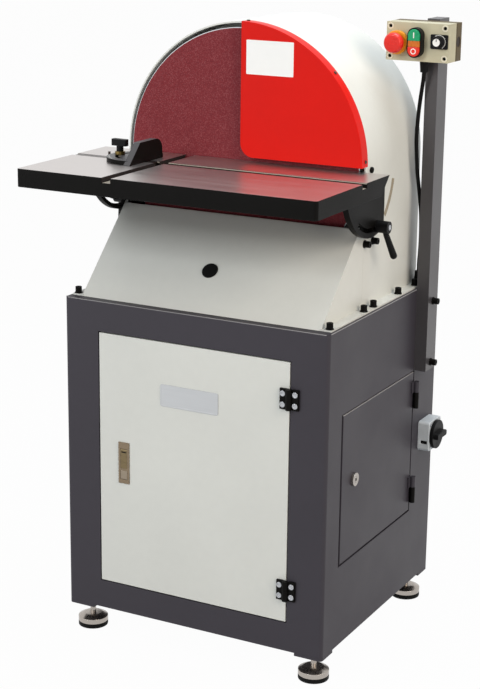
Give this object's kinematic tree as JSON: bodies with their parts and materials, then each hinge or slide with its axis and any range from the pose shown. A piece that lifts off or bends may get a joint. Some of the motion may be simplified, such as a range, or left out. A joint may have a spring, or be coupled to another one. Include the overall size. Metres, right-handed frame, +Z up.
{
  "type": "floor-standing disc sander",
  "caption": "Floor-standing disc sander: drum-housed disc with a guard, tilting slotted table with a mitre gauge, sheet cabinet with doors, control box on a post.",
  "frame": {"origin": "on the floor, in the middle of the four levelling feet", "axes": "+X to the operator's right, +Y to the rear, +Z up; the disc faces -Y"},
  "size_m": [0.6841, 0.658, 1.266],
  "materials": {
    "cabinet_paint": "fine textured grey paint",
    "housing_paint": "off-white semi-gloss paint",
    "guard_paint": "red semi-gloss paint",
    "table_iron": "ground top, black painted sides",
    "black_iron": "black paint or black oxide",
    "zinc_steel": "zinc plated or ground",
    "chrome": "bright plated",
    "nickel_bronze": "bronze-toned nickel plate",
    "rubber_black": "plain black rubber",
    "abrasive": "coated abrasive cloth, speckled red-brown",
    "disc_alloy": "turned",
    "motor_paint": "grey machine paint",
    "box_plastic": "beige moulded plastic",
    "black_plastic": "black moulded plastic",
    "grey_plastic": "light grey moulded plastic",
    "red_plastic": "red moulded plastic",
    "green_plastic": "green moulded plastic",
    "amber_plastic": "amber lens",
    "yellow_plastic": "yellow moulded plastic"
  },
  "bodies": {
    "machine": {"cabinet_shell": "cabinet_paint", "cabinet_back": "cabinet_paint", "cabinet_deck": "cabinet_paint", "cabinet_floor": "cabinet_paint", "foot_bodies": "chrome", "foot_pads": "rubber_black", "hopper": "housing_paint", "hopper_plug": "rubber_black", "drum_housing": "housing_paint", "drum_bulkhead": "housing_paint", "disc_guard": "guard_paint", "cap_screws": "black_iron", "dust_spigot": "housing_paint", "dust_duct": "zinc_steel", "motor_pedestal": "black_iron", "motor_frame": "motor_paint", "motor_end_shields": "motor_paint", "motor_bearings": "zinc_steel", "fan_cowl": "motor_paint", "trunnion_brackets": "black_iron", "clamp_studs": "zinc_steel", "post": "cabinet_paint", "control_box": "box_plastic", "control_lid": "box_plastic", "estop_collar": "yellow_plastic", "push_bezel": "black_plastic", "pilot_lens": "amber_plastic", "speed_plate": "black_plastic", "cable_glands": "black_plastic", "control_cable": "rubber_black", "isolator_base": "grey_plastic", "front_hinge_frames": "black_iron", "side_hinge_frames": "black_iron", "electrical_panel": "zinc_steel", "inverter": "black_plastic"},
    "rotor": {"disc_plate": "disc_alloy", "abrasive_disc": "abrasive", "motor_rotor": "zinc_steel", "cooling_fan": "black_plastic"},
    "table": {"table": "table_iron", "trunnion_quadrants": "black_iron"},
    "clamp_lever_right": {"clamp_lever_right": "black_plastic"},
    "clamp_lever_left": {"clamp_lever_left": "black_plastic"},
    "gauge_bar": {"gauge_bar": "zinc_steel"},
    "gauge_head": {"gauge_head": "black_iron"},
    "gauge_knob": {"gauge_knob": "black_plastic"},
    "front_door": {"front_door": "housing_paint", "front_hinge_leaves": "black_iron", "latch_body": "nickel_bronze"},
    "latch_paddle": {"latch_paddle": "nickel_bronze"},
    "latch_button": {"latch_button": "nickel_bronze"},
    "side_hatch": {"side_hatch": "cabinet_paint", "side_hinge_leaves": "cabinet_paint", "lock_body": "chrome"},
    "lock_plug": {"lock_plug": "chrome"},
    "isolator_knob": {"isolator_knob": "black_plastic"},
    "estop_button": {"estop_button": "red_plastic"},
    "start_button": {"start_button": "green_plastic"},
    "stop_button": {"stop_button": "red_plastic"},
    "speed_knob": {"speed_knob": "black_plastic"}
  },
  "joints": [
    {"name": "disc_spin", "type": "hinge", "parent": "machine", "child": "rotor", "pos_m": [0, -0.071, 0.995], "axis": [0, 1, 0], "continuous": true},
    {"name": "table_tilt", "type": "hinge", "parent": "machine", "child": "table", "pos_m": [0, -0.073, 0.99], "axis": [1, 0, 0], "range_deg": [0, 45]},
    {"name": "clamp_right_turn", "type": "hinge", "parent": "machine", "child": "clamp_lever_right", "pos_m": [0, -0.04825, 0.88282], "axis": [1, 0, 0], "range_deg": [0, 60]},
    {"name": "clamp_left_turn", "type": "hinge", "parent": "machine", "child": "clamp_lever_left", "pos_m": [0, -0.04825, 0.88282], "axis": [1, 0, 0], "range_deg": [0, 60]},
    {"name": "gauge_slide", "type": "slide", "parent": "table", "child": "gauge_bar", "axis": [1, 0, 0], "range_m": [-0.006, 0.4]},
    {"name": "gauge_turn", "type": "hinge", "parent": "gauge_bar", "child": "gauge_head", "pos_m": [-0.17, -0.187, 0.995], "axis": [0, 0, 1], "range_deg": [-60, 60]},
    {"name": "gauge_knob_turn", "type": "hinge", "parent": "gauge_bar", "child": "gauge_knob", "pos_m": [-0.212, -0.187, 1.01], "axis": [0, 0, 1], "range_deg": [0, 180]},
    {"name": "front_door_swing", "type": "hinge", "parent": "machine", "child": "front_door", "pos_m": [0.21375, -0.2755, 0.388], "axis": [0, 0, 1], "range_deg": [0, 110]},
    {"name": "latch_paddle_lift", "type": "hinge", "parent": "front_door", "child": "latch_paddle", "pos_m": [-0.156, -0.2685, 0.4155], "axis": [-1, 0, 0], "range_deg": [0, 40]},
    {"name": "latch_button_press", "type": "slide", "parent": "front_door", "child": "latch_button", "axis": [0, 1, 0], "range_m": [0, 0.0025], "stiffness_N_per_m": 400},
    {"name": "side_hatch_swing", "type": "hinge", "parent": "machine", "child": "side_hatch", "pos_m": [0.2993, 0.15025, 0.387], "axis": [0, 0, 1], "range_deg": [0, 95]},
    {"name": "lock_turn", "type": "hinge", "parent": "side_hatch", "child": "lock_plug", "pos_m": [0.293, -0.143, 0.396], "axis": [1, 0, 0], "range_deg": [0, 90]},
    {"name": "isolator_turn", "type": "hinge", "parent": "machine", "child": "isolator_knob", "pos_m": [0.322, 0.215, 0.39], "axis": [1, 0, 0], "range_deg": [0, 90]},
    {"name": "estop_press", "type": "slide", "parent": "machine", "child": "estop_button", "axis": [0, 1, 0], "range_m": [0, 0.004]},
    {"name": "start_press", "type": "slide", "parent": "machine", "child": "start_button", "axis": [0, 1, 0], "range_m": [0, 0.003], "stiffness_N_per_m": 500},
    {"name": "stop_press", "type": "slide", "parent": "machine", "child": "stop_button", "axis": [0, 1, 0], "range_m": [0, 0.003], "stiffness_N_per_m": 500},
    {"name": "speed_turn", "type": "hinge", "parent": "machine", "child": "speed_knob", "pos_m": [0.3465, 0.07, 1.2285], "axis": [0, 1, 0], "range_deg": [-150, 150]}
  ]
}
